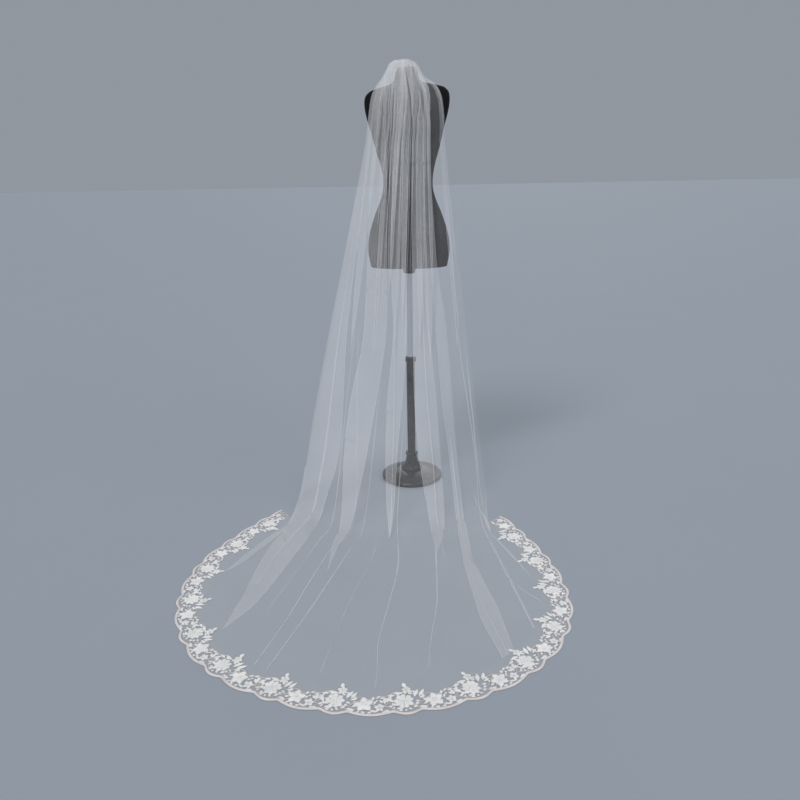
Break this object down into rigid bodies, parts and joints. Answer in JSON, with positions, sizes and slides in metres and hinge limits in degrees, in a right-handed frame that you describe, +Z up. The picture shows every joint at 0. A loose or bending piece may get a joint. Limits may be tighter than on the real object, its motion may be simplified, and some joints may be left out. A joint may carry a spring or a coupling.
{
  "type": "bridal veil on a dress form",
  "caption": "Long white tulle bridal veil with a lace-edged train, draped from the neck of a black dress form on a pole stand.",
  "frame": {"origin": "centre of the stand foot's underside, on the floor", "axes": "+Z up; the train runs towards -Y, and the dress form's chest faces +Y"},
  "size_m": [1.3118, 1.6422, 1.7503],
  "materials": {
    "form_jersey": "matt black jersey",
    "black_enamel": "gloss black",
    "chrome": "polished",
    "tulle": "sheer white net",
    "lace": "corded floral lace",
    "comb_metal": "polished wire"
  },
  "bodies": {
    "root": {"form_torso": "form_jersey", "neck_cap": "black_enamel", "torso_socket": "black_enamel", "chrome_rod": "chrome", "rod_collar": "black_enamel", "stand_tube": "black_enamel", "foot_boot": "black_enamel", "stand_foot": "black_enamel", "tulle_gathers": "tulle", "tulle_back": "tulle", "tulle_knees": "tulle", "tulle_sweep": "tulle", "tulle_train": "tulle", "lace_border": "lace", "veil_comb": "comb_metal"}
  },
  "joints": []
}
